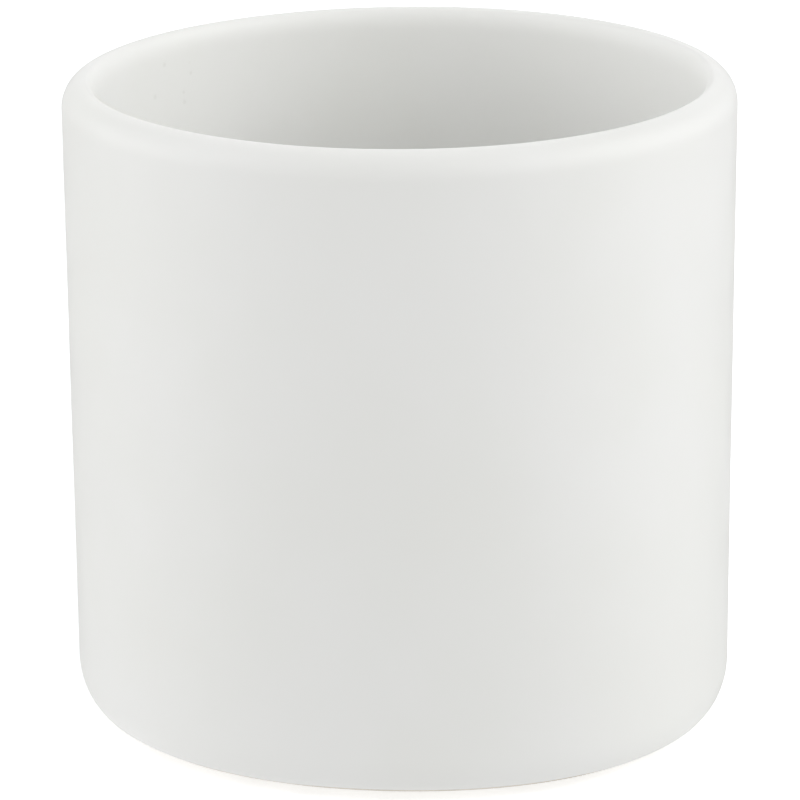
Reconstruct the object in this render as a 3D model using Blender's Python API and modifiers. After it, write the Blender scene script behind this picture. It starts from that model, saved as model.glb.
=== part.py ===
"""Pen holder cup: a one-piece glazed ceramic cup on four small bumper feet.

The origin is on the desk, below the middle of the cup, and +Z points up through the mouth.
Lengths are in metres.
"""

from math import cos, radians, sin

import bpy

# Cup body
CUP_RADIUS = 0.045
CUP_HEIGHT = 0.0860
WALL_THICKNESS = 0.0045
FLOOR_THICKNESS = 0.0040
FLOOR_FILLET_RADIUS = 0.0050
BOTTOM_CORNER_WIDTH = 0.0040
BOTTOM_CORNER_HEIGHT = 0.0058

# Lip: its crown is nearer the inside, and each side of it is a quarter of an ellipse
LIP_OUTER_WIDTH = 0.0032
LIP_OUTER_DEPTH = 0.0036
LIP_INNER_DEPTH = 0.0030

# Underside: a flat foot ring round a shallow recess
FOOT_RING_WIDTH = 0.0050
FOOT_RING_EDGE_RADIUS = 0.0006
RECESS_DEPTH = 0.0015

# Bumper feet: flat discs stuck into the recess, so that the foot ring stays clear of the desk
BUMPER_COUNT = 4
BUMPER_RADIUS = 0.0050
BUMPER_HEIGHT = 0.0020
BUMPER_EDGE_RADIUS = 0.0004
BUMPER_CIRCLE_RADIUS = 0.0290
FIRST_BUMPER_ANGLE = radians(45)
ADHESIVE_FILM = 0.0003

# Heights above the desk
RECESS_Z = BUMPER_HEIGHT + ADHESIVE_FILM
FOOT_RING_Z = RECESS_Z - RECESS_DEPTH
FLOOR_Z = RECESS_Z + FLOOR_THICKNESS
RIM_Z = FOOT_RING_Z + CUP_HEIGHT

# Fineness of the round shapes
TURN_STEPS = 72
CORNER_STEPS = 6
SMALL_EDGE_STEPS = 2
BUMPER_SIDES = 32
SHARP_ANGLE = radians(40)
MERGE_DISTANCE = 0.00001

GLAZE_WHITE = (0.86, 0.86, 0.84)
GLAZE_ROUGHNESS = 0.4
BUMPER_WHITE = (0.78, 0.79, 0.78)
BUMPER_ROUGHNESS = 0.5


def remove_everything():
    for scene_object in list(bpy.data.objects):
        bpy.data.objects.remove(scene_object, do_unlink=True)


def make_material(name, colour, roughness):
    material = bpy.data.materials.new(name)
    material.use_nodes = True
    shader = material.node_tree.nodes["Principled BSDF"]
    shader.inputs["Base Color"].default_value = (*colour, 1.0)
    shader.inputs["Roughness"].default_value = roughness
    shader.inputs["Metallic"].default_value = 0.0
    return material


def arc(centre, width, depth, start, end, steps):
    """Points (radius, height) along an ellipse about centre, from one angle in degrees to another."""
    turns = [radians(start + (end - start) * step / steps) for step in range(steps + 1)]
    return [(centre[0] + width * cos(turn), centre[1] + depth * sin(turn)) for turn in turns]


def inner_profile():
    """From the middle of the floor, up the inner wall to the crown of the lip."""
    wall = CUP_RADIUS - WALL_THICKNESS
    fillet = FLOOR_FILLET_RADIUS
    crown = CUP_RADIUS - LIP_OUTER_WIDTH
    floor = [(0.0, FLOOR_Z)]
    floor += arc((wall - fillet, FLOOR_Z + fillet), fillet, fillet, -90, 0, CORNER_STEPS)
    lip = arc((crown, RIM_Z - LIP_INNER_DEPTH), crown - wall, LIP_INNER_DEPTH, 180, 90, CORNER_STEPS)
    return floor + lip


def outer_profile():
    """From the crown of the lip, down the outer wall and under the foot to the middle of the recess."""
    crown = CUP_RADIUS - LIP_OUTER_WIDTH
    width, height = BOTTOM_CORNER_WIDTH, BOTTOM_CORNER_HEIGHT
    edge = FOOT_RING_EDGE_RADIUS
    recess_radius = CUP_RADIUS - width - FOOT_RING_WIDTH
    lip = arc((crown, RIM_Z - LIP_OUTER_DEPTH), LIP_OUTER_WIDTH, LIP_OUTER_DEPTH, 90, 0, CORNER_STEPS)
    foot = arc((CUP_RADIUS - width, FOOT_RING_Z + height), width, height, 0, -90, CORNER_STEPS)
    ring = arc((recess_radius, FOOT_RING_Z + edge), edge, edge, -90, -180, SMALL_EDGE_STEPS)
    recess = [(recess_radius - edge, RECESS_Z), (0.0, RECESS_Z)]
    return lip[1:] + foot + ring + recess


def make_cup(collection, material):
    """The whole profile turned about Z: inner wall, lip, outer wall, foot ring and recess in one body."""
    profile = inner_profile() + outer_profile()
    mesh = bpy.data.meshes.new("cup_body")
    points = [(radius, 0.0, height) for radius, height in profile]
    edges = [(index, index + 1) for index in range(len(points) - 1)]
    mesh.from_pydata(points, edges, [])
    mesh.materials.append(material)
    cup = bpy.data.objects.new("cup_body", mesh)
    collection.objects.link(cup)
    screw = cup.modifiers.new("turn", "SCREW")
    screw.axis = "Z"
    screw.steps = TURN_STEPS
    screw.render_steps = TURN_STEPS
    screw.use_merge_vertices = True
    screw.merge_threshold = MERGE_DISTANCE
    screw.use_smooth_shade = True
    return cup


def make_bumper(number, collection, material):
    """A flat disc with rounded edges, standing on the desk."""
    angle = FIRST_BUMPER_ANGLE + radians(360) * number / BUMPER_COUNT
    place = (BUMPER_CIRCLE_RADIUS * cos(angle), BUMPER_CIRCLE_RADIUS * sin(angle), BUMPER_HEIGHT / 2)
    bpy.ops.mesh.primitive_cylinder_add(
        vertices=BUMPER_SIDES, radius=BUMPER_RADIUS, depth=BUMPER_HEIGHT, location=place
    )
    bumper = bpy.context.object
    bumper.name = f"bumper_foot_{number + 1}"
    bumper.data.name = bumper.name
    bumper.data.materials.append(material)
    bumper.data.shade_smooth()
    bumper.data.set_sharp_from_angle(angle=SHARP_ANGLE)
    bevel = bumper.modifiers.new("rounded_edges", "BEVEL")
    bevel.width = BUMPER_EDGE_RADIUS
    bevel.segments = SMALL_EDGE_STEPS
    bevel.limit_method = "ANGLE"
    for holder in list(bumper.users_collection):
        holder.objects.unlink(bumper)
    collection.objects.link(bumper)
    return bumper


def main():
    remove_everything()
    collection = bpy.data.collections.new("pen_holder_cup")
    bpy.context.scene.collection.children.link(collection)
    glaze = make_material("white_glaze", GLAZE_WHITE, GLAZE_ROUGHNESS)
    elastomer = make_material("bumper_elastomer", BUMPER_WHITE, BUMPER_ROUGHNESS)
    make_cup(collection, glaze)
    for number in range(BUMPER_COUNT):
        make_bumper(number, collection, elastomer)


main()
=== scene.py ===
"""Looks for the pen holder cup: a finely turned and glazed cup, its bumper feet, studio light and camera."""

from math import ceil, cos, dist, pi, radians, sin

import bpy
from mathutils import Matrix, Vector, noise


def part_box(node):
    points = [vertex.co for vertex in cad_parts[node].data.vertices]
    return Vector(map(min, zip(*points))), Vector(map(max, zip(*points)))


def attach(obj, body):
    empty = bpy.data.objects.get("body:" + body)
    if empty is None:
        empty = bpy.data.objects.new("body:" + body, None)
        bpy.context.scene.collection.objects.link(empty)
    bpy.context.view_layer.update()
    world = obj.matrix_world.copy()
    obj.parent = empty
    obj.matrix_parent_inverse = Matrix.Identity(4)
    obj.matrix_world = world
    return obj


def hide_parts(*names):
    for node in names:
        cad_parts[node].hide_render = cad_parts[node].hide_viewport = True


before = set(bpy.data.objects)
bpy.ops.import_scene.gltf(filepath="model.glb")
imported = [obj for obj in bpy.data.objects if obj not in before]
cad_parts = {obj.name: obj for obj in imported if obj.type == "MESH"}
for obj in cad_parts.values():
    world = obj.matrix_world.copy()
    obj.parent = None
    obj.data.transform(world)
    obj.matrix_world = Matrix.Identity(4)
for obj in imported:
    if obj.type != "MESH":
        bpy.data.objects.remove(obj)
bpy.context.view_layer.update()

MM = 0.001

# ---------------------------------------------------------------- sizes

CUP_LOW, CUP_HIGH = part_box("cup_body")
CUP_RADIUS = (CUP_HIGH.x - CUP_LOW.x) / 2
FOOT_Z = CUP_LOW.z
RIM_Z = CUP_HIGH.z
CUP_HEIGHT = RIM_Z - FOOT_Z

WALL = 4.5 * MM
FLOOR = 4.0 * MM
FLOOR_FILLET = 5.0 * MM
CORNER_WIDTH = 4.0 * MM
CORNER_HEIGHT = 5.8 * MM
LIP_OUTER_WIDTH = 3.2 * MM
LIP_OUTER_DEPTH = 3.6 * MM
LIP_INNER_DEPTH = 3.0 * MM
RING_WIDTH = 5.0 * MM
RING_EDGE = 0.6 * MM
RECESS_DEPTH = 1.5 * MM

MID_CUP = Vector((0.0, 0.0, (FOOT_Z + RIM_Z) / 2))

BUMPER_NODES = [name for name in sorted(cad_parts) if name.startswith("bumper_foot")]
BUMPER_DRAFT = 0.15 * MM
BUMPER_EDGE = 0.7 * MM
BUMPER_TOP_EDGE = 0.2 * MM
FILM_THICKNESS = FOOT_Z + RECESS_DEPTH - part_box(BUMPER_NODES[0])[1].z

# The glaze stops short of the foot ring and leaves the clay bare there
BARE = "bare_clay"
GLAZE_THICKNESS = 0.18 * MM
GLAZE_LINE = 1.0 * MM
GLAZE_EDGE = 0.4 * MM
GLAZE_LINE_WANDER = 0.3 * MM
GLAZE_LINE_WIGGLES = 4.0
GLAZE_WAVE_HEIGHT = 0.05 * MM
GLAZE_WAVE_LENGTH = 18 * MM

# Darker specks inside the cup, dimpled a little: (direction, depth below the rim, radius). Fainter ones are
# all over it
SPECK_DARKNESS = 0.11
FAINT_SPECK = 0.35
SPECKS = [
    (radians(148.2), 8.1 * MM, 0.55 * MM),
    (radians(145.0), 4.0 * MM, 0.5 * MM),
    (radians(137.4), 6.1 * MM, 0.4 * MM),
    (radians(139.5), 8.6 * MM, 0.4 * MM),
    (radians(139.3), 10.0 * MM, 0.5 * MM),
]

# The kiln leaves the rim and the foot a little out of round: (lobes, share of the radius, direction)
RIM_LOBES = [(2, 0.0057, radians(37)), (3, 0.0054, radians(60))]
FOOT_LOBES = [(2, 0.0089, radians(-24)), (3, 0.0144, radians(-43)), (4, 0.0084, radians(-43))]

# Fineness of the meshes
CUP_TURNS = 320
ARC_STEPS = 18
WALL_STEP = 2.4 * MM
BUMPER_TURNS = 96
BUMPER_STEP = 0.5 * MM

# Studio: a white cove that only the camera sees, so that lamps and sky alone light the cup
COVE_RADIUS = 3.0
COVE_HEIGHT = 2.0
COVE_BEND = 0.8
COVE_BOARD = 0.02
COVE_NEAR_GLOW = 0.36
COVE_FAR_GLOW = 0.56

# The sky's brightness: overhead, near the horizon, just below the horizon, and straight below
SKY_OVERHEAD = 0.41
SKY_HORIZON = 0.83
GROUND_HORIZON = 0.37
GROUND_BELOW = 1.09

# How far the two bands near the horizon reach from it, and how softly the bands meet
SKY_BAND = radians(30)
SKY_BLUR = radians(4)
HORIZON_BLUR = 0.01

# Lamps: name, azimuth from the camera's side, then elevation, width and height, then brightness
LAMP_DISTANCE = 1.3
HIGH_LAMP = (radians(32), 1.1, 0.9)
LOW_LAMP = (radians(6), 1.0, 0.45)
SOFTBOXES = [
    ("softbox_right", radians(90), *HIGH_LAMP, 2.32),
    ("softbox_left", radians(-90), *HIGH_LAMP, 1.44),
    ("softbox_left_low", radians(-90), *LOW_LAMP, 1.76),
    ("softbox_front_right", radians(45), *HIGH_LAMP, 1.16),
    ("softbox_front_left", radians(-45), *HIGH_LAMP, 0.54),
    ("softbox_back", radians(180), *HIGH_LAMP, 0.45),
    ("softbox_back_left", radians(-135), *HIGH_LAMP, 0.26),
]

# Camera
VIEW_DISTANCE = 12 * CUP_RADIUS
VIEW_ELEVATION = radians(17.46)
VIEW_ROLL = radians(-0.40)
SENSOR_WIDTH = 36.0
LENS = 179.1
AIM_DROP = 2.5 * MM
AIM_RIGHT = -0.5 * MM
CLIP_START = 0.05
CLIP_END = 50.0


# ---------------------------------------------------------------- materials


class Nodes:
    """A short way to build the node tree of a material or of the sky."""

    def __init__(self, owner, shader="Principled BSDF", coordinates="Object"):
        owner.use_nodes = True
        self.owner = owner
        self.tree = owner.node_tree
        self.shader = self.tree.nodes[shader]
        self.place = self.add("ShaderNodeTexCoord").outputs[coordinates]

    def add(self, kind, **settings):
        node = self.tree.nodes.new(kind)
        for key, value in settings.items():
            setattr(node, key, value)
        return node

    def put(self, socket, value):
        """Gives a socket a number, a colour or another node's output."""
        if isinstance(value, bpy.types.NodeSocket):
            self.tree.links.new(value, socket)
        elif socket.type == "RGBA":
            socket.default_value = (*value, 1.0)
        else:
            socket.default_value = value

    def noise(self, size, detail=2.0, roughness=0.5):
        """Cloudy noise from 0 to 1, whose patches are about size across."""
        node = self.add("ShaderNodeTexNoise")
        self.put(node.inputs["Vector"], self.place)
        self.put(node.inputs["Scale"], 1.0 / size)
        self.put(node.inputs["Detail"], detail)
        self.put(node.inputs["Roughness"], roughness)
        return node.outputs["Fac"]

    def spots(self, spacing, radius, share):
        """1 inside small round spots in a random share of cells that are spacing apart, and 0 elsewhere."""
        cells = self.add("ShaderNodeTexVoronoi")
        self.put(cells.inputs["Vector"], self.place)
        self.put(cells.inputs["Scale"], 1.0 / spacing)
        inside = self.ramp(cells.outputs["Distance"], radius / spacing, 0.5 * radius / spacing)
        pick = self.add("ShaderNodeSeparateColor")
        self.put(pick.inputs["Color"], cells.outputs["Color"])
        chosen = self.math("LESS_THAN", pick.outputs["Red"], share)
        return self.math("MULTIPLY", inside, chosen)

    def spot_at(self, place, radius):
        """1 at one place, falling to 0 at radius from it."""
        node = self.add("ShaderNodeVectorMath", operation="DISTANCE")
        self.put(node.inputs[0], self.place)
        self.put(node.inputs[1], place)
        return self.ramp(node.outputs["Value"], radius, 0.2 * radius)

    def rise(self):
        """The third coordinate."""
        node = self.add("ShaderNodeSeparateXYZ")
        self.put(node.inputs["Vector"], self.place)
        return node.outputs["Z"]

    def attribute(self, name):
        return self.add("ShaderNodeAttribute", attribute_name=name).outputs["Fac"]

    def math(self, operation, first, second):
        node = self.add("ShaderNodeMath", operation=operation)
        self.put(node.inputs[0], first)
        self.put(node.inputs[1], second)
        return node.outputs["Value"]

    def ramp(self, value, start, end, low=0.0, high=1.0):
        """Runs smoothly from low at start to high at end, which may be below start."""
        if start > end:
            start, end, low, high = end, start, high, low
        node = self.add("ShaderNodeMapRange", interpolation_type="SMOOTHSTEP")
        settings = {"Value": value, "From Min": start, "From Max": end, "To Min": low, "To Max": high}
        for name, setting in settings.items():
            self.put(node.inputs[name], setting)
        return node.outputs["Result"]

    def mix(self, share, first, second, kind="RGBA"):
        """Runs from the first colour to the second as share goes from 0 to 1."""
        node = self.add("ShaderNodeMix", data_type=kind)
        wanted = "RGBA" if kind == "RGBA" else "VALUE"
        # The node has a pair of ends for each kind of data, and only the wanted pair is used
        ends = [socket for socket in node.inputs if socket.type == wanted][-2:]
        self.put(node.inputs[0], share)
        self.put(ends[0], first)
        self.put(ends[1], second)
        return next(socket for socket in node.outputs if socket.type == wanted)

    def blend(self, share, first, second):
        """Runs from the first number to the second as share goes from 0 to 1."""
        return self.mix(share, first, second, kind="FLOAT")

    def bump(self, height, depth, normal=None):
        """Relief of the given depth, laid over normal where there is one."""
        node = self.add("ShaderNodeBump")
        self.put(node.inputs["Strength"], 1.0)
        self.put(node.inputs["Distance"], depth)
        self.put(node.inputs["Height"], height)
        if normal is not None:
            self.put(node.inputs["Normal"], normal)
        return node.outputs["Normal"]

    def finish(self, colour, roughness, normal, specular=0.5):
        self.put(self.shader.inputs["Base Color"], colour)
        self.put(self.shader.inputs["Roughness"], roughness)
        self.put(self.shader.inputs["Normal"], normal)
        self.put(self.shader.inputs["Specular IOR Level"], specular)
        return self.owner


def dark_specks(cup):
    """Where small darker specks lie on the glaze, from 0 to 1: a few on the inner wall, and fainter ones all
    over.
    """
    share = cup.math("MULTIPLY", cup.spots(spacing=6.0 * MM, radius=0.3 * MM, share=0.16), FAINT_SPECK)
    reach = widest_reach()
    for direction, depth, radius in SPECKS:
        height = RIM_Z - depth
        wall = (CUP_RADIUS - WALL) * out_of_round(direction, height) / reach
        place = (wall * cos(direction), wall * sin(direction), height)
        share = cup.math("MAXIMUM", share, cup.spot_at(place, radius))
    return share


def glaze_layer(cup):
    """Satin white glaze, faintly cloudy and creamy, with a soft orange-peel ripple and small darker, dimpled
    specks.
    """
    white = (0.825, 0.827, 0.811)
    cream = (0.811, 0.814, 0.790)
    mark_colour = (0.40, 0.39, 0.34)
    clouds = cup.ramp(cup.noise(size=26 * MM, detail=3.0), 0.3, 0.7)
    specks = dark_specks(cup)
    colour = cup.mix(clouds, white, cream)
    # Darkens the colour at the specks, which are also dimpled in the bump below
    colour = cup.mix(cup.math("MULTIPLY", specks, SPECK_DARKNESS), colour, mark_colour)
    roughness = cup.ramp(cup.noise(size=9 * MM), 0.25, 0.75, low=0.36, high=0.46)
    normal = cup.bump(cup.noise(size=1.6 * MM, detail=1.0), depth=0.005 * MM)
    normal = cup.bump(cup.noise(size=7 * MM, detail=1.0), depth=0.025 * MM, normal=normal)
    normal = cup.bump(specks, depth=-0.02 * MM, normal=normal)
    return colour, roughness, normal


def clay_layer(cup, bare, normal):
    """Bare fired clay: matt and grainy, with small pits, and a little grubby where it is handled."""
    pale = (0.70, 0.66, 0.59)
    dusty = (0.54, 0.50, 0.43)
    grain = cup.noise(size=0.5 * MM, detail=4.0, roughness=0.65)
    grime = cup.ramp(cup.noise(size=6 * MM, detail=4.0), 0.45, 0.75)
    pits = cup.spots(spacing=1.3 * MM, radius=0.16 * MM, share=0.35)
    colour = cup.mix(cup.math("MULTIPLY", grime, 0.5), pale, dusty)
    colour = cup.mix(cup.math("MULTIPLY", pits, 0.5), colour, dusty)
    roughness = cup.ramp(grain, 0.3, 0.7, low=0.78, high=0.92)
    normal = cup.bump(cup.math("MULTIPLY", grain, bare), depth=0.04 * MM, normal=normal)
    normal = cup.bump(cup.math("MULTIPLY", pits, bare), depth=-0.06 * MM, normal=normal)
    return colour, roughness, normal


def cup_material():
    """White glaze all over, but for the bare clay of the foot ring."""
    cup = Nodes(bpy.data.materials.new("white_glaze"))
    bare = cup.attribute(BARE)
    glaze_colour, glaze_roughness, normal = glaze_layer(cup)
    clay_colour, clay_roughness, normal = clay_layer(cup, bare, normal)
    colour = cup.mix(bare, glaze_colour, clay_colour)
    roughness = cup.blend(bare, glaze_roughness, clay_roughness)
    return cup.finish(colour, roughness, normal, specular=0.25)


def elastomer_material():
    """Milky soft plastic of the bumper feet, satin, with moulding haze and a few dust marks."""
    soft = Nodes(bpy.data.materials.new("bumper_elastomer"))
    milky = (0.66, 0.67, 0.66)
    mark_colour = (0.50, 0.49, 0.46)
    marks = soft.ramp(soft.noise(size=1.4 * MM, detail=5.0, roughness=0.6), 0.56, 0.74)
    colour = soft.mix(soft.math("MULTIPLY", marks, 0.45), milky, mark_colour)
    roughness = soft.blend(marks, 0.34, 0.62)
    normal = soft.bump(soft.noise(size=0.25 * MM, detail=2.0), depth=0.006 * MM)
    return soft.finish(colour, roughness, normal)


def film_material():
    """Clear, faintly yellow glue film between a bumper foot and the glaze, with trapped air bubbles."""
    film = Nodes(bpy.data.materials.new("adhesive_film"))
    clear = (0.66, 0.64, 0.57)
    air = (0.74, 0.73, 0.69)
    bubbles = film.spots(spacing=0.8 * MM, radius=0.15 * MM, share=0.4)
    colour = film.mix(bubbles, clear, air)
    roughness = film.ramp(film.noise(size=0.6 * MM), 0.3, 0.7, low=0.22, high=0.4)
    return film.finish(colour, roughness, film.bump(bubbles, depth=0.02 * MM))


def cove_material():
    """Matt white studio board, with a very slight tooth. It glows a little, and less near the cup."""
    board = Nodes(bpy.data.materials.new("studio_board"))
    white = (0.94, 0.94, 0.94)
    off_white = (0.92, 0.92, 0.92)
    cool_white = (0.90, 0.94, 1.00)
    colour = board.mix(board.noise(size=60 * MM, detail=4.0), white, off_white)
    roughness = board.ramp(board.noise(size=3 * MM), 0.3, 0.7, low=0.8, high=0.9)
    tooth = board.bump(board.noise(size=0.9 * MM), depth=0.01 * MM)
    board.put(board.shader.inputs["Emission Color"], cool_white)
    near = board.spot_at((0.0, 0.0, 0.0), COVE_RADIUS / 2)
    board.put(board.shader.inputs["Emission Strength"], board.blend(near, COVE_FAR_GLOW, COVE_NEAR_GLOW))
    return board.finish(colour, roughness, tooth, specular=0.1)


# ---------------------------------------------------------------- meshes


def smoothstep(value):
    value = min(1.0, max(0.0, value))
    return value * value * (3 - 2 * value)


def arc(centre, width, depth, start, end, steps=ARC_STEPS):
    """Points (radius, height) along an ellipse about centre, from one angle in degrees to another."""
    turns = [radians(start + (end - start) * step / steps) for step in range(steps + 1)]
    return [(centre[0] + width * cos(turn), centre[1] + depth * sin(turn)) for turn in turns]


def filled(points, longest):
    """The same outline, with its straight stretches cut into steps no longer than longest."""
    result = [points[0]]
    for (r0, z0), (r1, z1) in zip(points, points[1:]):
        steps = ceil(dist((r0, z0), (r1, z1)) / longest)
        result += [(r0 + (r1 - r0) * k / steps, z0 + (z1 - z0) * k / steps) for k in range(1, steps + 1)]
    return result


def cup_outline():
    """The whole turned outline, from the middle of the floor over the lip to the middle of the recess."""
    wall = CUP_RADIUS - WALL
    crown = CUP_RADIUS - LIP_OUTER_WIDTH
    corner = CUP_RADIUS - CORNER_WIDTH
    recess = corner - RING_WIDTH
    ceiling = FOOT_Z + RECESS_DEPTH
    floor = ceiling + FLOOR
    points = [(0.0, floor)]
    points += arc((wall - FLOOR_FILLET, floor + FLOOR_FILLET), FLOOR_FILLET, FLOOR_FILLET, -90, 0)
    points += arc((crown, RIM_Z - LIP_INNER_DEPTH), crown - wall, LIP_INNER_DEPTH, 180, 90)
    points += arc((crown, RIM_Z - LIP_OUTER_DEPTH), LIP_OUTER_WIDTH, LIP_OUTER_DEPTH, 90, 0)[1:]
    points += arc((corner, FOOT_Z + CORNER_HEIGHT), CORNER_WIDTH, CORNER_HEIGHT, 0, -90, 2 * ARC_STEPS)
    points += arc((recess, FOOT_Z + RING_EDGE), RING_EDGE, RING_EDGE, -90, -180, ARC_STEPS // 3)
    points += arc((recess - 2 * RING_EDGE, ceiling - RING_EDGE), RING_EDGE, RING_EDGE, 0, 90, ARC_STEPS // 3)
    points += [(0.0, ceiling)]
    return filled(points, WALL_STEP)


def out_of_round(angle, height):
    """How far the radius is from round at that angle and height, as a factor."""
    rim_share = (height - FOOT_Z) / CUP_HEIGHT
    rim = sum(size * cos(lobes * (angle - aim)) for lobes, size, aim in RIM_LOBES)
    foot = sum(size * cos(lobes * (angle - aim)) for lobes, size, aim in FOOT_LOBES)
    return 1 + rim_share * rim + (1 - rim_share) * foot


def widest_reach():
    """The furthest that the out-of-round cup would get along X or Y, as a share of its radius."""
    reaches = []
    for height in (FOOT_Z, RIM_Z):
        for turn in range(CUP_TURNS):
            angle = 2 * pi * turn / CUP_TURNS
            reaches.append(out_of_round(angle, height) * max(abs(cos(angle)), abs(sin(angle))))
    return max(reaches)


def bare_share(angle, height):
    """1 on the bare clay of the foot, 0 where there is glaze, with a line that wanders a little."""
    wander = GLAZE_LINE_WANDER * noise.noise(Vector((cos(angle), sin(angle), 0.0)) * GLAZE_LINE_WIGGLES)
    above_line = height - (FOOT_Z + GLAZE_LINE + wander)
    return 1 - smoothstep(above_line / GLAZE_EDGE + 0.5)


def turned_mesh(name, outline, turns, shape=None):
    """Turns an outline that starts and ends on the axis into one closed mesh. shape moves its points."""
    rings = outline[1:-1]
    points = [Vector((0.0, 0.0, outline[0][1])), Vector((0.0, 0.0, outline[-1][1]))]
    for index, (radius, height) in enumerate(rings):
        for turn in range(turns):
            angle = 2 * pi * turn / turns
            r, z = shape(index, radius, height, angle) if shape else (radius, height)
            points.append(Vector((r * cos(angle), r * sin(angle), z)))
    faces = []
    last = 2 + (len(rings) - 1) * turns
    for turn in range(turns):
        after = (turn + 1) % turns
        faces.append((0, 2 + turn, 2 + after))
        faces.append((1, last + after, last + turn))
        for ring in range(2, last, turns):
            faces.append((ring + turn, ring + turns + turn, ring + turns + after, ring + after))
    mesh = bpy.data.meshes.new(name)
    mesh.from_pydata(points, [], faces)
    mesh.shade_smooth()
    return mesh


def add_object(name, mesh, material):
    mesh.materials.append(material)
    thing = bpy.data.objects.new(name, mesh)
    bpy.context.scene.collection.objects.link(thing)
    return thing


def outward(outline, index):
    """The outline's outward direction (radius, height) at one of its points."""
    (r0, z0), (r1, z1) = outline[index - 1], outline[index + 1]
    length = dist((r0, z0), (r1, z1))
    return (z0 - z1) / length, (r1 - r0) / length


def make_cup():
    """The cup as one fine shell: a little out of round, its glaze gently wavy and proud of the bare foot."""
    outline = cup_outline()
    normals = [outward(outline, index) for index in range(1, len(outline) - 1)]
    reach = widest_reach()
    bare = [0.0, 0.0]  # the mesh starts with its two points on the axis

    def shape(index, radius, height, angle):
        share = bare_share(angle, height)
        bare.append(share)
        place = Vector((radius * cos(angle), radius * sin(angle), height)) / GLAZE_WAVE_LENGTH
        wave = GLAZE_WAVE_HEIGHT * (noise.noise(place) - 1) / 2
        rise = wave * (1 - share) - GLAZE_THICKNESS * share
        out_r, out_z = normals[index]
        return (radius * out_of_round(angle, height) / reach + rise * out_r, height + rise * out_z)

    mesh = turned_mesh("glazed_cup", outline, CUP_TURNS, shape)
    mesh.attributes.new(BARE, "FLOAT", "POINT").data.foreach_set("value", bare)
    return add_object("glazed_cup", mesh, cup_material())


def bumper_outline(low, high, radius):
    """A soft disc: a wide round edge below, a small one above, and sides that lean in a little."""
    top = radius - BUMPER_DRAFT
    points = [(0.0, high.z)]
    points += arc((top - BUMPER_TOP_EDGE, high.z - BUMPER_TOP_EDGE), BUMPER_TOP_EDGE, BUMPER_TOP_EDGE, 90, 0)
    points += arc((radius - BUMPER_EDGE, low.z + BUMPER_EDGE), BUMPER_EDGE, BUMPER_EDGE, 0, -90)
    points += [(0.0, low.z)]
    return filled(points, BUMPER_STEP)


def make_bumper(node, material):
    low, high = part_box(node)
    radius = (high.x - low.x) / 2
    mesh = turned_mesh(node + "_soft", bumper_outline(low, high, radius), BUMPER_TURNS)
    bumper = add_object(node + "_soft", mesh, material)
    centre = (low + high) / 2
    bumper.location = (centre.x, centre.y, 0.0)
    return bumper


def make_film(node, material):
    """The glue film that fills the space between a bumper foot and the roof of the recess."""
    low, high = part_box(node)
    radius = (high.x - low.x) / 2 - BUMPER_DRAFT - BUMPER_TOP_EDGE
    base, top = high.z, high.z + FILM_THICKNESS
    edge = FILM_THICKNESS / 2
    outline = [(0.0, top)] + arc((radius, base + edge), edge, edge, 90, -90) + [(0.0, base)]
    mesh = turned_mesh(node + "_adhesive", filled(outline, BUMPER_STEP), BUMPER_TURNS)
    film = add_object(node + "_adhesive", mesh, material)
    centre = (low + high) / 2
    film.location = (centre.x, centre.y, 0.0)
    return film


# ---------------------------------------------------------------- studio


def make_cove():
    """A round white floor that bends up into a wall all round."""
    bend = (COVE_RADIUS - COVE_BEND, COVE_BEND)
    inside = arc(bend, COVE_BEND, COVE_BEND, -90, 0) + [(COVE_RADIUS, COVE_HEIGHT)]
    outside = [(COVE_RADIUS + COVE_BOARD, COVE_HEIGHT), (COVE_RADIUS + COVE_BOARD, COVE_BEND)]
    outside += arc(bend, COVE_BEND + COVE_BOARD, COVE_BEND + COVE_BOARD, 0, -90)[1:]
    outline = [(0.0, 0.0)] + inside + outside + [(0.0, -COVE_BOARD)]
    cove = add_object("studio_cove", turned_mesh("studio_cove", outline, BUMPER_TURNS), cove_material())
    cove.visible_diffuse = False
    cove.visible_glossy = False
    cove.visible_shadow = False


def towards(azimuth, elevation):
    """The direction of an azimuth and elevation, seen from the cup. Azimuth 0 is the camera's side."""
    return Vector((sin(azimuth) * cos(elevation), -cos(azimuth) * cos(elevation), sin(elevation)))


def make_softbox(name, azimuth, elevation, width, height, brightness):
    """A rectangular lamp that faces the cup. Its energy is worked out from its size and brightness."""
    lamp = bpy.data.lights.new(name, "AREA")
    lamp.shape = "RECTANGLE"
    lamp.size = width
    lamp.size_y = height
    lamp.energy = brightness * pi * width * height
    softbox = bpy.data.objects.new(name, lamp)
    bpy.context.scene.collection.objects.link(softbox)
    direction = towards(azimuth, elevation)
    softbox.location = MID_CUP + direction * LAMP_DISTANCE
    softbox.rotation_euler = direction.to_track_quat("Z", "Y").to_euler()
    softbox.visible_camera = False


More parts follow.
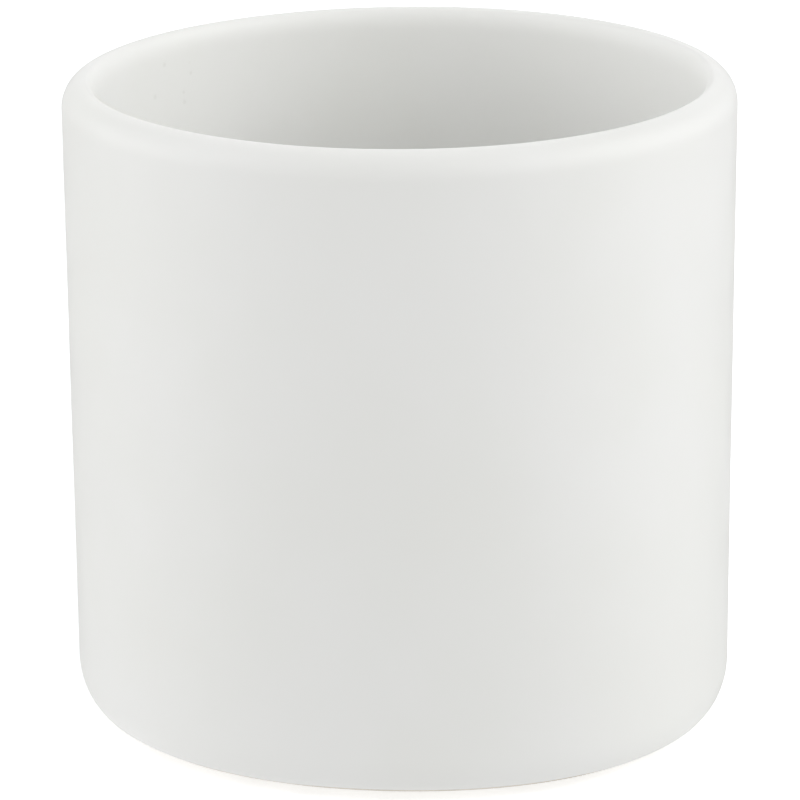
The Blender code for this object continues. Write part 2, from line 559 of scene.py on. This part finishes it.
def make_sky():
    """Soft light from all sides, with a band above the horizon and one below it."""
    sky = Nodes(bpy.data.worlds.new("studio_light"), "Background", "Generated")
    rise = sky.rise()
    start, end = sin(SKY_BAND - SKY_BLUR), sin(SKY_BAND + SKY_BLUR)
    above = sky.ramp(rise, start, end, low=SKY_HORIZON, high=SKY_OVERHEAD)
    below = sky.ramp(rise, -start, -end, low=GROUND_HORIZON, high=GROUND_BELOW)
    upper = sky.ramp(rise, -HORIZON_BLUR, HORIZON_BLUR)
    sky.put(sky.shader.inputs["Strength"], sky.blend(upper, below, above))
    sky.put(sky.shader.inputs["Color"], (1.0, 1.0, 1.0))
    bpy.context.scene.world = sky.owner


def make_camera():
    """A long lens that looks down on the cup, aimed a little below its middle and rolled very slightly."""
    back = towards(0.0, VIEW_ELEVATION)
    place = MID_CUP + back * VIEW_DISTANCE
    sight = (place - (MID_CUP + Vector((AIM_RIGHT, 0.0, -AIM_DROP)))).normalized()
    right = Vector((0, 0, 1)).cross(sight).normalized()
    up = sight.cross(right)
    turned_right = right * cos(VIEW_ROLL) + up * sin(VIEW_ROLL)
    turned_up = up * cos(VIEW_ROLL) - right * sin(VIEW_ROLL)
    camera_data = bpy.data.cameras.new("camera")
    camera_data.sensor_width = SENSOR_WIDTH
    camera_data.lens = LENS
    camera_data.clip_start = CLIP_START
    camera_data.clip_end = CLIP_END
    camera = bpy.data.objects.new("camera", camera_data)
    bpy.context.scene.collection.objects.link(camera)
    turn = Matrix((turned_right, turned_up, sight)).transposed()
    camera.matrix_world = Matrix.LocRotScale(place, turn, None)
    bpy.context.scene.camera = camera


# ---------------------------------------------------------------- build

cup = make_cup()
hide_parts("cup_body")
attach(cup, "root")

soft = elastomer_material()
glue = film_material()
for node in BUMPER_NODES:
    bumper = make_bumper(node, soft)
    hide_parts(node)
    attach(bumper, "root")
    film = make_film(node, glue)
    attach(film, "root")

make_cove()
make_sky()
for softbox in SOFTBOXES:
    make_softbox(*softbox)
make_camera()
bpy.context.scene.view_settings.view_transform = "Standard"
